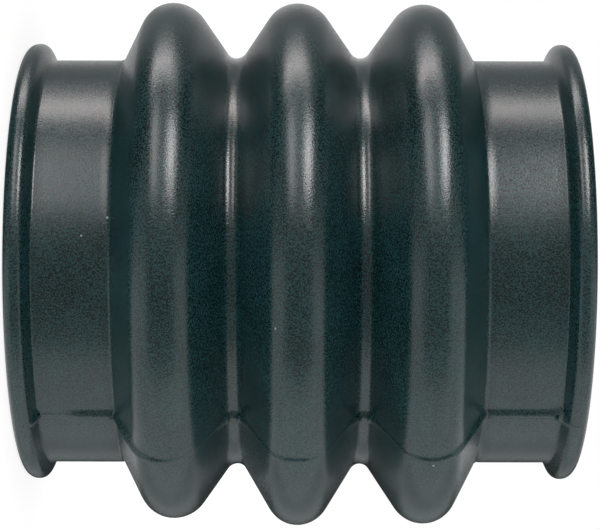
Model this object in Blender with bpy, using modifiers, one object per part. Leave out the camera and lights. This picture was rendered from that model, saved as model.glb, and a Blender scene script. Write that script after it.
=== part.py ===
"""Rubber drive shaft boot: one moulded bellows with a plain cuff and a rounded lip at each end.

It stands on its lower lip. +Z runs along the boot, the origin is the middle of the lower end face,
and the mould's parting plane is XZ. All sizes are in metres.
"""

import math

import bmesh
import bpy

# Each cuff is a plain tube that a band clamps on its spigot, CUFF_LENGTH from end face to first fold
CUFF_LENGTH = 0.0171
CUFF_DIAMETER = 0.0740
CUFF_WALL = 0.0030
BORE_TAPER_LENGTH = 0.0040
MOUTH_ROUND = 0.0009

# The lip stands proud of the cuff at the end face and keeps the band on
LIP_HEIGHT = 0.0030
LIP_FLANK_TILT = math.radians(66)
LIP_OUTER_ROUND = 0.0019
LIP_INNER_ROUND = 0.0015
LIP_RIM_FLAT = 0.0002
LIP_ROOT_ROUND = 0.0008

# The folds' valleys stand a little proud of the cuffs, and their crests by FOLD_DEPTH more
FOLD_COUNT = 3
FOLD_PITCH = 0.0226
FOLD_DEPTH = 0.0105
VALLEY_RISE = 0.00035
CREST_ROUND = 0.0052
VALLEY_ROUND = 0.0020
FOLD_WALL = 0.0025
FOLD_ROOT_REACH = 0.0099
FOLD_ROOT_ROUND = 0.0010

# The ridge that the mould's two halves leave on the outside, and how far round the lips it goes
RIDGE_HEIGHT = 0.0003
RIDGE_WIDTH = 0.0008
RIDGE_DEPTH = 0.0005
RIDGE_END_TILT = math.radians(45)

TURN_STEPS = 56
ARC_STEP = math.radians(30)
RIDGE_SHARP_ANGLE = math.radians(40)
MERGE_DISTANCE = 0.00001

FIRST_FOLD = CUFF_LENGTH + FOLD_ROOT_REACH
LAST_FOLD = FIRST_FOLD + (FOLD_COUNT - 1) * FOLD_PITCH
BOOT_LENGTH = LAST_FOLD + FIRST_FOLD
CUFF_RADIUS = CUFF_DIAMETER / 2
BORE_RADIUS = CUFF_RADIUS - CUFF_WALL
LIP_RADIUS = CUFF_RADIUS + LIP_HEIGHT
VALLEY_RADIUS = CUFF_RADIUS + VALLEY_RISE
CREST_RADIUS = VALLEY_RADIUS + FOLD_DEPTH
END_TILT = math.radians(90)


def point_at(circle, tilt, offset=0.0):
    """The point of a rounding, as (radius, height), where its normal leans by tilt from radial to +Z."""
    height, radius, rounding, side = circle
    reach = side * rounding + offset
    return (radius + reach * math.cos(tilt), height + reach * math.sin(tilt))


def shared_tilt(lower, upper):
    """How far from radial the normal leans on the straight flank that touches two roundings."""
    rise = upper[0] - lower[0]
    spread = upper[1] - lower[1]
    reach = lower[3] * lower[2] - upper[3] * upper[2]
    return math.atan2(rise, spread) - math.acos(reach / math.hypot(rise, spread))


def arc_points(circle, start, end, offset=0.0):
    steps = max(2, math.ceil(abs(end - start) / ARC_STEP))
    return [point_at(circle, start + (end - start) * i / steps, offset) for i in range(steps + 1)]


def wrapped_outline(circles, start_tilt, end_tilt, offset=0.0):
    """The line that runs round a row of circles, from the lowest up, and joins them by common tangents."""
    tilts = [start_tilt]
    tilts += [shared_tilt(lower, upper) for lower, upper in zip(circles, circles[1:])]
    tilts.append(end_tilt)
    points = []
    for circle, start, end in zip(circles, tilts, tilts[1:]):
        points += arc_points(circle, start, end, offset)
    return points


def fold_circles():
    """The crests, the valleys and the root at each cuff, as (height, radius, rounding, 1 out or -1 in)."""
    crest_centre = CREST_RADIUS - CREST_ROUND
    valley_centre = VALLEY_RADIUS + VALLEY_ROUND
    root_centre = CUFF_RADIUS + FOLD_ROOT_ROUND
    circles = [(CUFF_LENGTH, root_centre, FOLD_ROOT_ROUND, -1)]
    for i in range(FOLD_COUNT):
        crest_height = FIRST_FOLD + i * FOLD_PITCH
        circles.append((crest_height, crest_centre, CREST_ROUND, 1))
        if i < FOLD_COUNT - 1:
            circles.append((crest_height + FOLD_PITCH / 2, valley_centre, VALLEY_ROUND, -1))
    circles.append((BOOT_LENGTH - CUFF_LENGTH, root_centre, FOLD_ROOT_ROUND, -1))
    return circles


def lip_circles():
    """The upper lip, from its root on the cuff to the corner of the end face."""
    root_centre = CUFF_RADIUS + LIP_ROOT_ROUND
    inner_centre = LIP_RADIUS - LIP_INNER_ROUND
    outer_height = BOOT_LENGTH - LIP_OUTER_ROUND
    inner_height = outer_height - LIP_RIM_FLAT
    lean = (inner_centre - root_centre) * math.cos(LIP_FLANK_TILT)
    flank_rise = (LIP_ROOT_ROUND + LIP_INNER_ROUND + lean) / math.sin(LIP_FLANK_TILT)
    return [
        (inner_height - flank_rise, root_centre, LIP_ROOT_ROUND, -1),
        (inner_height, inner_centre, LIP_INNER_ROUND, 1),
        (outer_height, LIP_RADIUS - LIP_OUTER_ROUND, LIP_OUTER_ROUND, 1),
    ]


def mirrored(circles):
    """The same roundings at the boot's other end, again from the lowest up."""
    return [(BOOT_LENGTH - height, *rest) for height, *rest in reversed(circles)]


def outer_circles():
    return mirrored(lip_circles()) + fold_circles() + lip_circles()


def inner_points():
    """The bore from the lower mouth to the upper one, with the folds' wall at an even thickness."""
    folds = fold_circles()
    lower_root, upper_root = folds[0], folds[-1]
    mouth = (BOOT_LENGTH - MOUTH_ROUND, BORE_RADIUS + MOUTH_ROUND, MOUTH_ROUND, 1)
    lower_mouth = mirrored([mouth])[0]
    points = arc_points(lower_mouth, -END_TILT, -2 * END_TILT)
    points.append((BORE_RADIUS, lower_root[0] - BORE_TAPER_LENGTH))
    points += wrapped_outline(folds, 0.0, 0.0, -FOLD_WALL)
    points.append((BORE_RADIUS, upper_root[0] + BORE_TAPER_LENGTH))
    points += arc_points(mouth, 2 * END_TILT, END_TILT)
    return points


def rubber(name):
    material = bpy.data.materials.new(name)
    material.use_nodes = True
    shader = material.node_tree.nodes["Principled BSDF"]
    shader.inputs["Base Color"].default_value = (0.018, 0.024, 0.026, 1.0)
    shader.inputs["Roughness"].default_value = 0.42
    shader.inputs["Metallic"].default_value = 0.0
    return material


def add_object(name, data, collection):
    made = bpy.data.objects.new(name, data)
    collection.objects.link(made)
    return made


def build_bellows(collection):
    """The boot's section, down its outer side and back up the bore, turned about Z."""
    outer = wrapped_outline(outer_circles(), -END_TILT, END_TILT)
    section = outer[::-1] + inner_points()
    mesh = bpy.data.meshes.new("drive_shaft_boot")
    corners = [(radius, 0.0, height) for radius, height in section]
    edges = [(i, (i + 1) % len(corners)) for i in range(len(corners))]
    mesh.from_pydata(corners, edges, [])
    boot = add_object("drive_shaft_boot", mesh, collection)
    turn = boot.modifiers.new("turn", "SCREW")
    turn.axis = "Z"
    turn.steps = turn.render_steps = TURN_STEPS
    turn.use_merge_vertices = True
    turn.merge_threshold = MERGE_DISTANCE
    turn.use_smooth_shade = True
    return boot


def build_ridge(name, turn, collection):
    """A thin fin in the parting plane, proud of the rubber by the ridge's height and rooted in it."""
    circles = outer_circles()
    proud = wrapped_outline(circles, -RIDGE_END_TILT, RIDGE_END_TILT, RIDGE_HEIGHT)
    rooted = wrapped_outline(circles, -RIDGE_END_TILT, RIDGE_END_TILT, -RIDGE_DEPTH)
    outline = proud + rooted[::-1]
    curve = bpy.data.curves.new(name, "CURVE")
    curve.dimensions = "2D"
    curve.fill_mode = "BOTH"
    curve.extrude = RIDGE_WIDTH / 2
    spline = curve.splines.new("POLY")
    spline.points.add(len(outline) - 1)
    for point, (radius, height) in zip(spline.points, outline):
        point.co = (radius, height, 0.0, 1.0)
    spline.use_cyclic_u = True
    flat = add_object(name + "_curve", curve, collection)
    flat.rotation_euler = (math.radians(90), 0.0, turn)
    bpy.context.view_layer.update()
    graph = bpy.context.evaluated_depsgraph_get()
    mesh = bpy.data.meshes.new_from_object(flat.evaluated_get(graph))
    shape = bmesh.new()
    shape.from_mesh(mesh)
    bmesh.ops.remove_doubles(shape, verts=shape.verts, dist=MERGE_DISTANCE)
    bmesh.ops.recalc_face_normals(shape, faces=shape.faces)
    shape.to_mesh(mesh)
    shape.free()
    mesh.shade_smooth()
    mesh.set_sharp_from_angle(angle=RIDGE_SHARP_ANGLE)
    ridge = add_object(name, mesh, collection)
    ridge.matrix_world = flat.matrix_world.copy()
    bpy.data.objects.remove(flat)
    ridge.hide_render = True
    ridge.display_type = "WIRE"
    return ridge


def join(target, tool):
    union = target.modifiers.new("join_" + tool.name, "BOOLEAN")
    union.operation = "UNION"
    union.solver = "EXACT"
    union.object = tool


def main():
    for old in list(bpy.data.objects):
        bpy.data.objects.remove(old)
    parts = bpy.data.collections.new("drive_shaft_boot")
    cutters = bpy.data.collections.new("cutters")
    for collection in (parts, cutters):
        bpy.context.scene.collection.children.link(collection)
    boot = build_bellows(parts)
    for side, turn in (("front", 0.0), ("back", math.pi)):
        join(boot, build_ridge("ridge_" + side, turn, cutters))
    boot.data.materials.append(rubber("moulded_rubber"))


main()
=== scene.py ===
import math

import bmesh
import bpy
from mathutils import Matrix, Vector


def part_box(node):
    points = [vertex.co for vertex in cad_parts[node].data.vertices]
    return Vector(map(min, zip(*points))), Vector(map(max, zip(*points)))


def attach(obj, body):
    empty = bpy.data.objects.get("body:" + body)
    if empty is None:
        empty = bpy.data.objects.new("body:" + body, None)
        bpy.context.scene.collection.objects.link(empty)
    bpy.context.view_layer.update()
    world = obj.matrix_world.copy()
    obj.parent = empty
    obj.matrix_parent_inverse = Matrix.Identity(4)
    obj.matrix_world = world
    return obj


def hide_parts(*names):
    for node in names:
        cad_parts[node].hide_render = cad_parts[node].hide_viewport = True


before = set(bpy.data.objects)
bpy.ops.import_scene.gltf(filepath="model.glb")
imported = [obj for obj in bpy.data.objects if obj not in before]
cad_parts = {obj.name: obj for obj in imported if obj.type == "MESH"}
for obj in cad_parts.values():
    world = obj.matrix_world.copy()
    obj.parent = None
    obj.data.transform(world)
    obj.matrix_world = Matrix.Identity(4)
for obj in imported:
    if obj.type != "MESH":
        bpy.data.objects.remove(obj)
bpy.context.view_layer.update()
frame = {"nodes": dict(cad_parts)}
print("frame loaded:", ", ".join(frame["nodes"]))

mm = 0.001
nodeName = "drive_shaft_boot"
nodeLow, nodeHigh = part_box(nodeName)
bootLength = nodeHigh[2] - nodeLow[2]


def linearColour(code):
    # sRGB hex code to the linear colour that the shaders take
    values = [int(code[i:i + 2], 16) / 255 for i in (1, 3, 5)]
    linear = [v / 12.92 if v <= 0.04045 else ((v + 0.055) / 1.055) ** 2.4 for v in values]
    return (*linear, 1.0)


def addNode(tree, kind, settings, links):
    # one node, with its settings, and each input either a value or a link from another socket
    node = tree.nodes.new(kind)
    for name, value in settings.items():
        setattr(node, name, value)
    for socket, value in links.items():
        if isinstance(value, bpy.types.NodeSocket):
            tree.links.new(value, node.inputs[socket])
        else:
            node.inputs[socket].default_value = value
    return node


def addObject(name, data):
    made = bpy.data.objects.new(name, data)
    bpy.context.scene.collection.objects.link(made)
    return made


# The camera looks level at the standing boot and is rolled a quarter turn, so that the boot lies
# across the picture with its lower end at the left. The parting line is below the middle.
cameraSettings = {
    "turn": math.radians(-44.7),     # round the boot, from the parting line's side at +X
    "distance": 376 * mm,            # from the boot's axis
    "lens": 121.74,
    "sensor": 36.0,
    "lift": 0.556 * mm,              # how far the view's middle lies below the boot's axis in the picture
    "roll": 0.002,                   # how much the picture's right leans up
    "clip": (10 * mm, 20.0),
}


def viewAxes():
    # towards the camera, the picture's up and the picture's right, as world directions
    turn = cameraSettings["turn"]
    back = Vector((math.cos(turn), math.sin(turn), 0.0))
    right = Vector((0.0, 0.0, 1.0))
    return back, back.cross(right), right


def buildCamera():
    back, up, right = viewAxes()
    middle = Vector((0.0, 0.0, bootLength / 2))
    place = middle + back * cameraSettings["distance"] - up * cameraSettings["lift"]
    rolledRight = (right + up * cameraSettings["roll"]).normalized()
    rolledUp = back.cross(rolledRight)
    data = bpy.data.cameras.new("photoCamera")
    data.sensor_width = cameraSettings["sensor"]
    data.lens = cameraSettings["lens"]
    data.clip_start, data.clip_end = cameraSettings["clip"]
    camera = addObject("photoCamera", data)
    turned = Matrix((rolledRight, rolledUp, back)).transposed().to_4x4()
    camera.matrix_world = Matrix.Translation(place) @ turned
    bpy.context.scene.camera = camera


buildCamera()
print("camera placed")


# The boot's section, in metres. Heights run from the lower end face up.
bootShape = {
    "cuffLength": 17.1 * mm,
    "cuffRadius": 37.0 * mm,
    "boreRadius": 34.0 * mm,
    "boreTaper": 4.0 * mm,
    "mouthRound": 0.9 * mm,
    "lipHeight": 3.0 * mm,
    "lipFlankTilt": math.radians(66),
    "lipOuterRound": 1.9 * mm,
    "lipInnerRound": 1.5 * mm,
    "lipRimFlat": 0.2 * mm,
    "lipRootRound": 0.8 * mm,
    "foldPitch": 22.6 * mm,
    "crestRadii": (47.36 * mm, 47.94 * mm, 47.70 * mm),   # the lowest fold came out a little small
    "crestRounds": (6.4 * mm, 6.2 * mm, 6.0 * mm),
    "valleyRadius": 37.35 * mm,
    "valleyRound": 2.0 * mm,
    "foldWall": 2.5 * mm,
    "foldRootReach": 9.9 * mm,       # from where the cuff ends to the first crest
    "foldRootRound": 1.0 * mm,
    "outerStep": math.radians(7),    # between points on the outside's roundings
    "innerStep": math.radians(18),
    "longestRun": 1.4 * mm,          # between points on the outside's straight runs
}

# The mould's parting line, in millimetres: height up the boot, how proud it stands and how far it runs
# out each side. It is heavy on the cuffs and the outer flanks, and nearly trimmed away between the folds.
partingLine = (
    (0.0, 0.0, 0.45), (3.0, 0.08, 0.45), (4.3, 0.55, 1.80), (5.2, 0.18, 0.65), (6.2, 0.14, 0.55),
    (9.4, 0.16, 0.60), (10.8, 0.70, 1.55), (17.1, 0.76, 1.65), (20.6, 0.72, 1.60), (25.0, 0.50, 1.20),
    (27.2, 0.28, 0.80), (29.5, 0.10, 0.50), (35.5, 0.07, 0.45), (37.0, 0.80, 1.80), (39.4, 0.80, 1.80),
    (40.8, 0.10, 0.50), (43.8, 0.14, 0.50), (45.2, 0.42, 0.85), (51.0, 0.36, 0.75), (53.0, 0.08, 0.45),
    (58.2, 0.07, 0.45), (59.6, 0.80, 1.80), (62.0, 0.80, 1.80), (63.4, 0.10, 0.50), (67.0, 0.14, 0.50),
    (68.6, 0.40, 0.85), (74.0, 0.42, 0.85), (75.8, 0.60, 1.20), (79.0, 0.72, 1.45), (82.0, 0.70, 1.50),
    (92.6, 0.70, 1.50), (94.6, 1.00, 2.60), (96.0, 0.18, 0.65), (99.2, 0.0, 0.45),
)

# The mould's halves met a little off their plane: height up the boot and how far to +Y, in millimetres.
lineShift = (
    (0.0, 0.70), (10.0, 0.70), (17.1, 0.80), (22.0, 1.20), (33.0, 1.00), (38.3, 0.85), (43.0, 0.0),
    (46.0, -0.50), (49.6, -0.95), (53.0, -0.50), (56.0, 0.0), (60.9, 0.85), (66.0, 0.0), (71.0, -0.60),
    (77.0, -1.10), (80.0, -0.40), (82.0, 0.30), (99.2, 0.40),
)

# The boot sags a little where it lay on its side: each fold's middle is off the axis, and the folds
# have crept along it and lean.
foldSag = {
    "direction": -viewAxes()[1],
    "crests": (-0.14 * mm, 0.51 * mm, 0.44 * mm),
    "valleys": -0.10 * mm,
}

# In millimetres: height up the boot, how far the rubber has crept up the axis there, and how far it
# leans up on the side that sags and on the camera's side.
foldCreep = (
    (0.0, 0.0, 0.0, 0.0), (12.0, 0.0, 0.0, 0.0), (17.1, 0.0, 0.10, 0.0), (27.0, -0.38, 0.14, -0.14),
    (38.3, -0.24, 0.22, 0.0), (49.6, -0.48, 0.02, 0.25), (60.9, -0.39, 0.0, 0.36),
    (72.2, -0.27, 0.07, 0.25), (82.1, -0.25, 0.45, 0.0), (87.0, 0.0, 0.0, 0.0), (99.2, 0.0, 0.0, 0.0),
)

bootSurface = {
    "turnSteps": 336,
    "seamCrowding": 0.86,            # 0 is even steps all round, towards 1 they crowd to the parting line
    "wander": 0.09 * mm,             # slow unevenness of moulded rubber
    "wanderSize": 16 * mm,
    "wanderDetail": 2.0,
    "seed": 4,
    "joined": 0.002 * mm,            # points nearer than this are merged, which closes the section's turn
}


def circlePoint(circle, tilt, offset):
    height, radius, rounding, side = circle
    reach = side * rounding + offset
    return (radius + reach * math.cos(tilt), height + reach * math.sin(tilt))


def sharedTilt(lower, upper):
    # how far from radial the normal leans on the straight run that touches two roundings
    rise = upper[0] - lower[0]
    spread = upper[1] - lower[1]
    reach = lower[3] * lower[2] - upper[3] * upper[2]
    return math.atan2(rise, spread) - math.acos(reach / math.hypot(rise, spread))


def wrappedOutline(circles, startTilt, endTilt, offset, step):
    # arcs and tangent runs round a row of circles, each point with the tilt of its outward normal
    tilts = [startTilt]
    tilts += [sharedTilt(lower, upper) for lower, upper in zip(circles, circles[1:])]
    tilts.append(endTilt)
    points = []
    for circle, start, end in zip(circles, tilts, tilts[1:]):
        steps = max(3, math.ceil(abs(end - start) / step))
        for i in range(steps + 1):
            tilt = start + (end - start) * i / steps
            points.append((*circlePoint(circle, tilt, offset), tilt))
    return points


def withStops(points, longest):
    # puts even stops on the straight runs that are longer than longest
    filled = [points[0]]
    for point in points[1:]:
        last = filled[-1]
        parts = math.ceil(math.dist(last[:2], point[:2]) / longest)
        for i in range(1, parts):
            filled.append(tuple(a + (b - a) * i / parts for a, b in zip(last, point)))
        filled.append(point)
    return filled


def foldCircles():
    shape = bootShape
    first = shape["cuffLength"] + shape["foldRootReach"]
    rootCentre = shape["cuffRadius"] + shape["foldRootRound"]
    valleyCentre = shape["valleyRadius"] + shape["valleyRound"]
    circles = [(shape["cuffLength"], rootCentre, shape["foldRootRound"], -1)]
    for i, (crestRadius, crestRound) in enumerate(zip(shape["crestRadii"], shape["crestRounds"])):
        height = first + i * shape["foldPitch"]
        circles.append((height, crestRadius - crestRound, crestRound, 1))
        circles.append((height + shape["foldPitch"] / 2, valleyCentre, shape["valleyRound"], -1))
    circles[-1] = (bootLength - shape["cuffLength"], rootCentre, shape["foldRootRound"], -1)
    return circles


def lipCircles():
    # the upper lip, from its root on the cuff to the corner of the end face
    shape = bootShape
    rootCentre = shape["cuffRadius"] + shape["lipRootRound"]
    lipRadius = shape["cuffRadius"] + shape["lipHeight"]
    innerCentre = lipRadius - shape["lipInnerRound"]
    outerHeight = bootLength - shape["lipOuterRound"]
    innerHeight = outerHeight - shape["lipRimFlat"]
    lean = (innerCentre - rootCentre) * math.cos(shape["lipFlankTilt"])
    flankRise = (shape["lipRootRound"] + shape["lipInnerRound"] + lean) / math.sin(shape["lipFlankTilt"])
    return [
        (innerHeight - flankRise, rootCentre, shape["lipRootRound"], -1),
        (innerHeight, innerCentre, shape["lipInnerRound"], 1),
        (outerHeight, lipRadius - shape["lipOuterRound"], shape["lipOuterRound"], 1),
    ]


def mirrored(circles):
    return [(bootLength - height, *rest) for height, *rest in reversed(circles)]


def outerSide():
    circles = mirrored(lipCircles()) + foldCircles() + lipCircles()
    points = wrappedOutline(circles, -math.pi / 2, math.pi / 2, 0.0, bootShape["outerStep"])
    return withStops(points, bootShape["longestRun"])


def innerSide():
    # down the bore from the upper mouth to the lower one, with each normal leaning towards the axis
    shape = bootShape
    folds = foldCircles()
    mouthRadius = shape["boreRadius"] + shape["mouthRound"]
    upperMouth = (bootLength - shape["mouthRound"], mouthRadius, shape["mouthRound"], 1)
    lowerMouth = (shape["mouthRound"], mouthRadius, shape["mouthRound"], 1)
    step = shape["innerStep"]
    upper = wrappedOutline([upperMouth], math.pi / 2, math.pi, 0.0, step)
    lower = wrappedOutline([lowerMouth], math.pi, math.pi * 1.5, 0.0, step)
    wall = wrappedOutline(folds, 0.0, 0.0, -shape["foldWall"], step)[::-1]
    wall = [(radius, height, tilt + math.pi) for radius, height, tilt in wall]
    taperTop = (shape["boreRadius"], folds[-1][0] + shape["boreTaper"], math.pi)
    taperFoot = (shape["boreRadius"], folds[0][0] - shape["boreTaper"], math.pi)
    return upper + [taperTop] + wall + [taperFoot] + lower


def readLine(stops, at, column):
    # reads a column of stops at a height, eased from one stop to the next
    for low, high in zip(stops, stops[1:]):
        if at <= high[0]:
            share = max(0.0, (at - low[0]) / (high[0] - low[0]))
            share = share * share * (3 - 2 * share)
            return low[column] + (high[column] - low[column]) * share
    return stops[-1][column]


def sagAt(radius, height):
    shape = bootShape
    first = shape["cuffLength"] + shape["foldRootReach"]
    fold = min(max(round((height - first) / shape["foldPitch"]), 0), len(foldSag["crests"]) - 1)
    if not shape["cuffLength"] < height < bootLength - shape["cuffLength"]:
        return 0.0
    crestShare = (radius - shape["valleyRadius"]) / (shape["crestRadii"][fold] - shape["valleyRadius"])
    crestShare = min(max(crestShare, 0.0), 1.0)
    return foldSag["valleys"] + (foldSag["crests"][fold] - foldSag["valleys"]) * crestShare


def hollowAt(radius, height):
    # 1 in the valleys between folds, where nothing rubs the rubber dull
    shape = bootShape
    first = shape["cuffLength"] + shape["foldRootReach"]
    if not first < height < bootLength - first:
        return 0.0
    return min(max(1.0 - (radius - shape["valleyRadius"]) / shape["valleyRound"], 0.0), 1.0)


def sectionMesh():
    # the section as a chain of points that carry what the turning needs to know
    outside = outerSide()
    inside = innerSide()
    points = outside + inside
    points.append(points[0])
    corners = [(radius, 0.0, height) for radius, height, tilt in points]
    mesh = bpy.data.meshes.new("bootSection")
    mesh.from_pydata(corners, [(i, i + 1) for i in range(len(points) - 1)], [])
    normals = []
    leans = []
    columns = {name: [] for name in ("lineHeight", "lineWidth", "lineShift", "sag", "hollow", "creep")}
    towardsCamera = viewAxes()[0]
    for i, (radius, height, tilt) in enumerate(points):
        seen = i < len(outside)
        stop = height / mm
        normals.extend((math.cos(tilt), 0.0, math.sin(tilt)))
        columns["lineHeight"].append(readLine(partingLine, stop, 1) * mm if seen else 0.0)
        columns["lineWidth"].append(readLine(partingLine, stop, 2) * mm)
        columns["lineShift"].append(readLine(lineShift, stop, 1) * mm)
        columns["sag"].append(sagAt(radius, height))
        columns["hollow"].append(hollowAt(radius, height) if seen else 0.0)
        columns["creep"].append(readLine(foldCreep, stop, 1) * mm)
        downLean = foldSag["direction"] * readLine(foldCreep, stop, 2) * mm
        frontLean = towardsCamera * readLine(foldCreep, stop, 3) * mm
        leans.extend(downLean + frontLean)
    mesh.attributes.new("outward", "FLOAT_VECTOR", "POINT").data.foreach_set("vector", normals)
    mesh.attributes.new("lean", "FLOAT_VECTOR", "POINT").data.foreach_set("vector", leans)
    for name, values in columns.items():
        mesh.attributes.new(name, "FLOAT", "POINT").data.foreach_set("value", values)
    print("section:", len(points), "points")
    return mesh


def turningTree():
    # turns the section about Z, crowds the steps at the parting plane and raises the parting line there
    tree = bpy.data.node_groups.new("turnedBoot", "GeometryNodeTree")
    sockets = (
        ("Section", "NodeSocketGeometry"), ("Turn Steps", "NodeSocketInt"),
        ("Seam Crowding", "NodeSocketFloat"), ("Wander", "NodeSocketFloat"),
        ("Wander Size", "NodeSocketFloat"), ("Wander Detail", "NodeSocketFloat"),
        ("Seed", "NodeSocketInt"), ("Joined", "NodeSocketFloat"),
        ("Sag Direction", "NodeSocketVector"), ("Rubber", "NodeSocketMaterial"),
    )
    for name, kind in sockets:
        tree.interface.new_socket(name, in_out="INPUT", socket_type=kind)
    tree.interface.new_socket("Boot", in_out="OUTPUT", socket_type="NodeSocketGeometry")
    given = addNode(tree, "NodeGroupInput", {}, {}).outputs
    section = given["Section"]
    plus, minus, times, scaled = [{"operation": name} for name in ("ADD", "SUBTRACT", "MULTIPLY", "SCALE")]

    # an even sheet, one row for each point of the section, that runs from -0.5 to 0.5 both ways
    count = addNode(tree, "GeometryNodeAttributeDomainSize", {"component": "MESH"}, {"Geometry": section})
    rows = count.outputs["Point Count"]
    turnStops = addNode(tree, "ShaderNodeMath", plus, {0: given["Turn Steps"], 1: 1.0}).outputs[0]
    grid = addNode(tree, "GeometryNodeMeshGrid", {}, {
        "Size X": 1.0, "Size Y": 1.0, "Vertices X": turnStops, "Vertices Y": rows})
    place = addNode(tree, "GeometryNodeInputPosition", {}, {}).outputs[0]
    onSheet = addNode(tree, "ShaderNodeSeparateXYZ", {}, {0: place}).outputs

    # the turn round the boot, its steps crowded at the parting plane
    turnShare = addNode(tree, "ShaderNodeMath", plus, {0: onSheet["X"], 1: 0.5}).outputs[0]
    evenTurn = addNode(tree, "ShaderNodeMath", times, {0: turnShare, 1: 2 * math.pi}).outputs[0]
    twice = addNode(tree, "ShaderNodeMath", times, {0: evenTurn, 1: 2.0}).outputs[0]
    swell = addNode(tree, "ShaderNodeMath", {"operation": "SINE"}, {0: twice}).outputs[0]
    crowding = addNode(tree, "ShaderNodeMath", times, {0: given["Seam Crowding"], 1: 0.5}).outputs[0]
    pull = addNode(tree, "ShaderNodeMath", times, {0: swell, 1: crowding}).outputs[0]
    turn = addNode(tree, "ShaderNodeMath", minus, {0: evenTurn, 1: pull}).outputs[0]
    sine = addNode(tree, "ShaderNodeMath", {"operation": "SINE"}, {0: turn}).outputs[0]
    cosine = addNode(tree, "ShaderNodeMath", {"operation": "COSINE"}, {0: turn}).outputs[0]

    # the row, which is the number of the section's point
    rowShare = addNode(tree, "ShaderNodeMath", plus, {0: onSheet["Y"], 1: 0.5}).outputs[0]
    lastRow = addNode(tree, "ShaderNodeMath", minus, {0: rows, 1: 1.0}).outputs[0]
    row = addNode(tree, "ShaderNodeMath", times, {0: rowShare, 1: lastRow}).outputs[0]
    rowIndex = addNode(tree, "FunctionNodeFloatToInt", {"rounding_mode": "ROUND"}, {0: row}).outputs[0]

    def column(name, kind="FLOAT"):
        # what the section's point carries under this name
        carried = addNode(tree, "GeometryNodeInputNamedAttribute", {"data_type": kind}, {"Name": name})
        settings = {"data_type": kind, "domain": "POINT", "clamp": True}
        return addNode(tree, "GeometryNodeSampleIndex", settings, {
            "Geometry": section, "Value": carried.outputs[0], "Index": rowIndex}).outputs[0]

    def turned(name):
        # a point or direction that the flat section carries, taken round the axis, and how far it is to +Y
        flat = addNode(tree, "ShaderNodeSeparateXYZ", {}, {0: column(name, "FLOAT_VECTOR")}).outputs
        along = addNode(tree, "ShaderNodeMath", times, {0: flat["X"], 1: cosine}).outputs[0]
        across = addNode(tree, "ShaderNodeMath", times, {0: flat["X"], 1: sine}).outputs[0]
        made = addNode(tree, "ShaderNodeCombineXYZ", {}, {"X": along, "Y": across, "Z": flat["Z"]})
        return made.outputs[0], across

    skin, offPlane = turned("position")
    outward = turned("outward")[0]

    # the parting line, eased down to the skin on each side
    toLine = addNode(tree, "ShaderNodeMath", minus, {0: offPlane, 1: column("lineShift")}).outputs[0]
    offLine = addNode(tree, "ShaderNodeMath", {"operation": "ABSOLUTE"}, {0: toLine}).outputs[0]
    ease = addNode(tree, "ShaderNodeMapRange", {"interpolation_type": "SMOOTHSTEP"}, {
        "Value": offLine, "From Min": 0.0, "From Max": column("lineWidth"),
        "To Min": 1.0, "To Max": 0.0}).outputs[0]
    line = addNode(tree, "ShaderNodeMath", times, {0: ease, 1: column("lineHeight")}).outputs[0]

    # the slow unevenness, which leaves the end faces flat
    density = addNode(tree, "ShaderNodeMath", {"operation": "DIVIDE"}, {0: 1.0, 1: given["Wander Size"]})
    noise = addNode(tree, "ShaderNodeTexNoise", {"noise_dimensions": "4D"}, {
        "Vector": skin, "W": given["Seed"], "Scale": density.outputs[0],
        "Detail": given["Wander Detail"]}).outputs[0]
    centred = addNode(tree, "ShaderNodeMath", minus, {0: noise, 1: 0.5}).outputs[0]
    outwardParts = addNode(tree, "ShaderNodeSeparateXYZ", {}, {0: outward}).outputs
    endways = addNode(tree, "ShaderNodeMath", {"operation": "ABSOLUTE"}, {0: outwardParts["Z"]}).outputs[0]
    sideways = addNode(tree, "ShaderNodeMath", minus, {0: 1.0, 1: endways}).outputs[0]
    swing = addNode(tree, "ShaderNodeMath", times, {0: centred, 1: sideways}).outputs[0]
    wander = addNode(tree, "ShaderNodeMath", times, {0: swing, 1: given["Wander"]}).outputs[0]
    proud = addNode(tree, "ShaderNodeMath", plus, {0: line, 1: wander}).outputs[0]
    step = addNode(tree, "ShaderNodeVectorMath", scaled, {0: outward, "Scale": proud}).outputs[0]
    lifted = addNode(tree, "ShaderNodeVectorMath", plus, {0: skin, 1: step}).outputs[0]

    # sag, creep and lean
    sag = addNode(tree, "ShaderNodeVectorMath", scaled, {
        0: given["Sag Direction"], "Scale": column("sag")}).outputs[0]
    lean = addNode(tree, "ShaderNodeVectorMath", {"operation": "DOT_PRODUCT"}, {
        0: outward, 1: column("lean", "FLOAT_VECTOR")}).outputs["Value"]
    rise = addNode(tree, "ShaderNodeMath", plus, {0: lean, 1: column("creep")}).outputs[0]
    creep = addNode(tree, "ShaderNodeCombineXYZ", {}, {"Z": rise}).outputs[0]
    sagged = addNode(tree, "ShaderNodeVectorMath", plus, {0: lifted, 1: sag}).outputs[0]
    bent = addNode(tree, "ShaderNodeVectorMath", plus, {0: sagged, 1: creep}).outputs[0]

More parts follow.
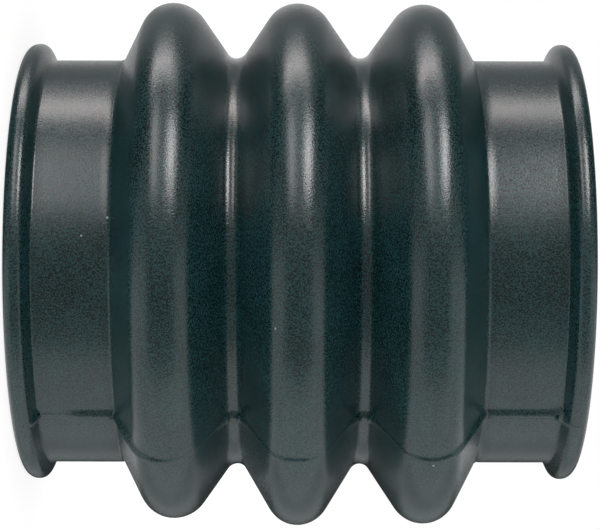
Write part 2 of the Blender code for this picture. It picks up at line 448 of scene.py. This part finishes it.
    kept = addNode(tree, "GeometryNodeStoreNamedAttribute", {"data_type": "FLOAT", "domain": "POINT"}, {
        "Geometry": grid.outputs["Mesh"], "Name": "hollow", "Value": column("hollow")}).outputs[0]
    moved = addNode(tree, "GeometryNodeSetPosition", {}, {"Geometry": kept, "Position": bent}).outputs[0]
    closed = addNode(tree, "GeometryNodeMergeByDistance", {}, {
        "Geometry": moved, "Distance": given["Joined"]}).outputs[0]
    smooth = addNode(tree, "GeometryNodeSetShadeSmooth", {}, {
        "Geometry": closed, "Shade Smooth": True}).outputs[0]
    real = addNode(tree, "GeometryNodeRealizeInstances", {}, {"Geometry": smooth}).outputs[0]
    coated = addNode(tree, "GeometryNodeSetMaterial", {}, {
        "Geometry": real, "Material": given["Rubber"]}).outputs[0]
    addNode(tree, "NodeGroupOutput", {}, {"Boot": coated})
    return tree


def setInputs(modifier, values):
    # sets a modifier's inputs by their sockets' identifiers
    for item in modifier.node_group.interface.items_tree:
        if item.item_type == "SOCKET" and item.in_out == "INPUT" and item.name in values:
            modifier[item.identifier] = values[item.name]


# Carbon-filled rubber, pressed in a steel mould: near black with a cold green cast, a satin skin that
# spreads its highlights, a fine dusty bloom and a few grains of dust.
rubberFinish = {
    "colour": "#000f10",             # between the grains
    "bloom": "#1b3e40",              # where the dusty bloom lies on them
    "dust": "#8c9c9c",
    "ior": 1.52,
    "roughness": (0.18, 0.27),       # rubbed to bloomed
    "hollowRoughness": 0.11,         # between the folds the mould's own gloss is left
    "grain": 0.27 * mm,              # real grain is finer, drawn as coarse as the picture shows it
    "grainDetail": (2.0, 0.6),       # finer octaves, and how strong they are
    "grainDepth": 0.038 * mm,
    "patch": 9 * mm,
    "patchDetail": 3.0,
    "patchShare": 0.15,
    "bloomFrom": (0.41, 0.59),       # where in the grain the bloom begins and is full
    "dustCore": 0.5,                 # the share of a dust grain's size that is not faded
}

# Grains of dust: height up the boot in millimetres, turn round it in degrees from the parting line at
# +X, and size in millimetres.
dustGrains = (
    (25.3, -82.6, 0.22), (17.3, -55.8, 0.26), (22.5, -59.9, 0.20), (32.1, -54.2, 0.24), (34.7, -54.6, 0.22),
    (13.0, -51.2, 0.20), (29.0, -97.5, 0.16), (22.5, -77.2, 0.16), (45.7, -31.6, 0.30), (72.2, 0.9, 0.24),
    (57.8, 2.8, 0.22),
)


def skinPoint(height, turn):
    # where the outside is, at a height and a turn round the boot
    outside = outerSide()
    low, high = [pair for pair in zip(outside, outside[1:]) if pair[0][1] <= height <= pair[1][1]][0]
    share = (height - low[1]) / max(high[1] - low[1], 1e-9)
    radius = low[0] + (high[0] - low[0]) * share
    spot = Vector((radius * math.cos(turn), radius * math.sin(turn), height))
    return spot + foldSag["direction"] * sagAt(radius, height)


def mouldedRubber():
    finish = rubberFinish
    material = bpy.data.materials.new("mouldedRubber")
    material.use_nodes = True
    tree = material.node_tree
    shader = tree.nodes["Principled BSDF"]
    place = addNode(tree, "ShaderNodeTexCoord", {}, {}).outputs["Object"]
    octaves, strength = finish["grainDetail"]
    grain = addNode(tree, "ShaderNodeTexNoise", {}, {
        "Vector": place, "Scale": 1 / finish["grain"], "Detail": octaves, "Roughness": strength}).outputs[0]
    patch = addNode(tree, "ShaderNodeTexNoise", {}, {
        "Vector": place, "Scale": 1 / finish["patch"], "Detail": finish["patchDetail"]}).outputs[0]
    both = addNode(tree, "ShaderNodeMix", {"data_type": "FLOAT"}, {
        "Factor": finish["patchShare"], "A": grain, "B": patch}).outputs[0]
    begins, full = finish["bloomFrom"]
    bloom = addNode(tree, "ShaderNodeMapRange", {}, {
        "Value": both, "From Min": begins, "From Max": full}).outputs[0]
    # sockets 6 and 7 of a Mix node take its colours, and output 2 gives the mixed one
    colour = addNode(tree, "ShaderNodeMix", {"data_type": "RGBA"}, {
        "Factor": bloom, 6: linearColour(finish["colour"]), 7: linearColour(finish["bloom"])}).outputs[2]
    smoothest, roughest = finish["roughness"]
    rubbed = addNode(tree, "ShaderNodeMapRange", {}, {
        "Value": bloom, "To Min": smoothest, "To Max": roughest}).outputs[0]
    hollow = addNode(tree, "ShaderNodeAttribute", {"attribute_name": "hollow"}, {}).outputs["Fac"]
    roughness = addNode(tree, "ShaderNodeMix", {"data_type": "FLOAT"}, {
        "Factor": hollow, "A": rubbed, "B": finish["hollowRoughness"]}).outputs[0]
    dust = None
    for height, turn, size in dustGrains:
        away = addNode(tree, "ShaderNodeVectorMath", {"operation": "DISTANCE"}, {
            0: place, 1: skinPoint(height * mm, math.radians(turn))}).outputs["Value"]
        spot = addNode(tree, "ShaderNodeMapRange", {}, {
            "Value": away, "From Min": finish["dustCore"] * size * mm, "From Max": size * mm,
            "To Min": 1.0, "To Max": 0.0}).outputs[0]
        if dust is None:
            dust = spot
        else:
            dust = addNode(tree, "ShaderNodeMath", {"operation": "MAXIMUM"}, {0: dust, 1: spot}).outputs[0]
    dusted = addNode(tree, "ShaderNodeMix", {"data_type": "RGBA"}, {
        "Factor": dust, 6: colour, 7: linearColour(finish["dust"])}).outputs[2]
    bump = addNode(tree, "ShaderNodeBump", {}, {
        "Height": grain, "Distance": finish["grainDepth"], "Strength": 1.0}).outputs[0]
    tree.links.new(dusted, shader.inputs["Base Color"])
    tree.links.new(roughness, shader.inputs["Roughness"])
    tree.links.new(bump, shader.inputs["Normal"])
    shader.inputs["IOR"].default_value = finish["ior"]
    return material


def buildBoot():
    blank = addObject("bootSection", sectionMesh())
    turning = blank.modifiers.new("turnedBoot", "NODES")
    turning.node_group = turningTree()
    setInputs(turning, {
        "Turn Steps": bootSurface["turnSteps"], "Seam Crowding": bootSurface["seamCrowding"],
        "Wander": bootSurface["wander"], "Wander Size": bootSurface["wanderSize"],
        "Wander Detail": bootSurface["wanderDetail"], "Seed": bootSurface["seed"],
        "Joined": bootSurface["joined"], "Sag Direction": foldSag["direction"], "Rubber": mouldedRubber()})
    graph = bpy.context.evaluated_depsgraph_get()
    mesh = bpy.data.meshes.new_from_object(blank.evaluated_get(graph))
    mesh.name = "bellowsBoot"
    bpy.data.objects.remove(blank)
    boot = addObject("bellowsBoot", mesh)
    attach(boot, "root")
    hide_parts(nodeName)
    print("boot:", len(mesh.vertices), "points,", len(mesh.polygons), "faces")


buildBoot()


# Plain studio: a pale floor, a white background, and soft boxes and grey curtains round the boot. Each is
# placed by its angle round the boot's axis, from the camera's side to the side that the picture has up,
# and by its tilt along the axis, towards the boot's upper end. Angles are in degrees. A box is so many
# degrees wide round the axis and long along it, and its light is the brightness of its face, as is a
# curtain's grey, where the white background is 1.
softBoxes = {
    "keyTop": {"round": 93, "tilt": -7, "wide": 12, "long": 40, "light": 6.6, "colour": "#fff6f5"},
    "keyBack": {"round": 107, "tilt": -6, "wide": 14, "long": 30, "light": 0.8, "colour": "#fff8f7"},
    "keySkirt": {"round": 92, "tilt": 18, "wide": 18, "long": 10, "light": 2.2, "colour": "#fff8f7"},
    "fill": {"round": 70, "tilt": 0, "wide": 16, "long": 34, "light": 0.4, "colour": "#ffffff"},
    "frontRight": {"round": 48, "tilt": 25, "wide": 30, "long": 18, "light": 9.4, "colour": "#fffbfa"},
    "frontMiddle": {"round": 41, "tilt": 2, "wide": 42, "long": 24, "light": 0.75, "colour": "#ffffff"},
    "frontLeft": {"round": 48, "tilt": -18, "wide": 38, "long": 16, "light": 3.8, "colour": "#fff9f8"},
    "footGlow": {"round": -72, "tilt": 4, "wide": 34, "long": 84, "light": 0.2, "colour": "#ffffff"},
}

# the angles round the boot and along it that each curtain covers; they leave the picture's foot open
curtains = {
    "footCurtain": {"round": (-30, 5), "tilts": ((-40, 40),), "grey": 0.32},
    "footHem": {"round": (-50, -30), "tilts": ((-40, 40),), "grey": 0.44},
    "frontCurtain": {"round": (5, 65), "tilts": ((-50, 50),), "grey": 0.42},
    "frontWings": {"round": (5, 65), "tilts": ((-90, -50), (50, 90)), "grey": 0.45},
    "keyCurtain": {"round": (65, 115), "tilts": ((-35, 35),), "grey": 0.38},
    "upperWings": {"round": (65, 190), "tilts": ((-90, -35), (35, 90)), "grey": 0.08},
    "upperBack": {"round": (115, 150), "tilts": ((-35, 35),), "grey": 0.38},
    "backCurtain": {"round": (150, 180), "tilts": ((-10, 10),), "grey": 0.75},
    "backEdge": {"round": (150, 165), "tilts": ((-35, -10), (10, 35)), "grey": 0.40},
    "backSides": {"round": (165, 180), "tilts": ((-35, -10), (10, 35)), "grey": 0.78},
    # painted shadow: these sheets stand for the boot's own shadow where it lay, as the gloss mirrors it;
    # darkest just behind, lighter at the sides and farther towards the foot
    "paintedShadowBack": {"round": (180, 195), "tilts": ((-10, 10),), "grey": 0.03},
    "paintedShadowBackSides": {"round": (180, 195), "tilts": ((-25, -10), (10, 25)), "grey": 0.22},
    "paintedShadowBackEdge": {"round": (195, 205), "tilts": ((-25, 25),), "grey": 0.03},
    "paintedShadowFoot": {"round": (205, 240), "tilts": ((-40, 40),), "grey": 0.45},
}

studio = {
    "boxDistance": 0.9,
    "boxPower": 4,                   # watts for a square metre of a box's face at a brightness of 1
    "curtainRadius": 1.5,
    "curtainStep": 5,                # degrees between points; the curtains' angles are multiples of it
    "floorSize": 6.0,
    "floorColour": "#f2f2f0",
    "floorGlow": 0.80,               # the part of the floor's whiteness that no shadow darkens
    "floorShade": 0.35,              # and how much of the paper's own light is added to it
}


def boxDirection(roundAngle, tilt):
    back, up, right = viewAxes()
    flat = back * math.cos(math.radians(roundAngle)) + up * math.sin(math.radians(roundAngle))
    return flat * math.cos(math.radians(tilt)) + right * math.sin(math.radians(tilt))


def buildSoftBoxes():
    right = viewAxes()[2]
    middle = Vector((0.0, 0.0, bootLength / 2))
    reach = studio["boxDistance"]
    for name, box in softBoxes.items():
        towards = boxDirection(box["round"], box["tilt"])
        data = bpy.data.lights.new(name, "AREA")
        data.shape = "RECTANGLE"
        data.size = 2 * reach * math.tan(math.radians(box["wide"] / 2))
        data.size_y = 2 * reach * math.tan(math.radians(box["long"] / 2))
        data.energy = box["light"] * studio["boxPower"] * data.size * data.size_y
        data.color = linearColour(box["colour"])[:3]
        lamp = addObject(name, data)
        across = towards.cross(right).normalized()
        turned = Matrix((across, towards.cross(across), towards)).transposed().to_4x4()
        lamp.matrix_world = Matrix.Translation(middle + towards * reach) @ turned
        lamp.visible_camera = False
        lamp.visible_diffuse = False      # the colour itself is lit by the white surroundings alone


def buildCurtains():
    # grey curtains that only the gloss sees, so that the rubber stays dark; the darkest, behind the boot,
    # are a painted shadow
    middle = Vector((0.0, 0.0, bootLength / 2))
    step = studio["curtainStep"]
    for name, curtain in curtains.items():
        shape = bmesh.new()
        start, end = curtain["round"]
        hems = []
        for lowTilt, highTilt in curtain["tilts"]:
            directions = [boxDirection(start, tilt) for tilt in range(lowTilt, highTilt + 1, step)]
            row = [shape.verts.new(middle + towards * studio["curtainRadius"]) for towards in directions]
            hems += row + [shape.edges.new(pair) for pair in zip(row, row[1:])]
        bmesh.ops.spin(
            shape, geom=hems, cent=middle, axis=(0.0, 0.0, 1.0), angle=-math.radians(end - start),
            steps=(end - start) // step)
        mesh = bpy.data.meshes.new(name)
        shape.to_mesh(mesh)
        shape.free()
        hung = addObject(name, mesh)
        material = bpy.data.materials.new(name + "Felt")
        material.use_nodes = True
        tree = material.node_tree
        tree.nodes.clear()
        grey = addNode(tree, "ShaderNodeEmission", {}, {"Strength": curtain["grey"]}).outputs[0]
        addNode(tree, "ShaderNodeOutputMaterial", {}, {"Surface": grey})
        mesh.materials.append(material)
        hung.visible_camera = False
        hung.visible_diffuse = False
        hung.visible_shadow = False
        hung.visible_transmission = False


def seenDirectly(tree):
    # 1 for the rays that see the background as it is: from the camera, mirrored or through glass
    rays = addNode(tree, "ShaderNodeLightPath", {}, {}).outputs
    seen = rays["Is Camera Ray"]
    for name in ("Is Glossy Ray", "Is Transmission Ray"):
        seen = addNode(tree, "ShaderNodeMath", {"operation": "MAXIMUM"}, {0: seen, 1: rays[name]}).outputs[0]
    return seen


def buildWorld():
    world = bpy.data.worlds.new("studioWorld")
    world.use_nodes = True
    bpy.context.scene.world = world
    background = world.node_tree.nodes["Background"]
    background.inputs["Color"].default_value = linearColour("#ffffff")
    background.inputs["Strength"].default_value = 1.0


def buildFloor():
    half = studio["floorSize"] / 2
    corners = [(-half, -half, 0.0), (half, -half, 0.0), (half, half, 0.0), (-half, half, 0.0)]
    mesh = bpy.data.meshes.new("paleFloor")
    mesh.from_pydata(corners, [], [(0, 1, 2, 3)])
    floor = addObject("paleFloor", mesh)
    material = bpy.data.materials.new("palePaper")
    material.use_nodes = True
    tree = material.node_tree
    tree.nodes.clear()
    seen = seenDirectly(tree)
    paper = addNode(tree, "ShaderNodeBsdfDiffuse", {}, {
        "Color": linearColour(studio["floorColour"])}).outputs[0]
    black = addNode(tree, "ShaderNodeBsdfDiffuse", {}, {"Color": linearColour("#000000")}).outputs[0]
    shade = addNode(tree, "ShaderNodeMixShader", {}, {
        0: studio["floorShade"], 1: black, 2: paper}).outputs[0]
    glow = addNode(tree, "ShaderNodeEmission", {}, {"Strength": studio["floorGlow"]}).outputs[0]
    bright = addNode(tree, "ShaderNodeAddShader", {}, {0: shade, 1: glow}).outputs[0]
    mixed = addNode(tree, "ShaderNodeMixShader", {}, {0: seen, 1: paper, 2: bright}).outputs[0]
    addNode(tree, "ShaderNodeOutputMaterial", {}, {"Surface": mixed})
    mesh.materials.append(material)
    floor.visible_shadow = False
    floor.visible_glossy = False
    floor.visible_diffuse = False


buildSoftBoxes()
buildCurtains()
buildWorld()
buildFloor()
bpy.context.scene.view_settings.view_transform = "Standard"
print("studio lit")
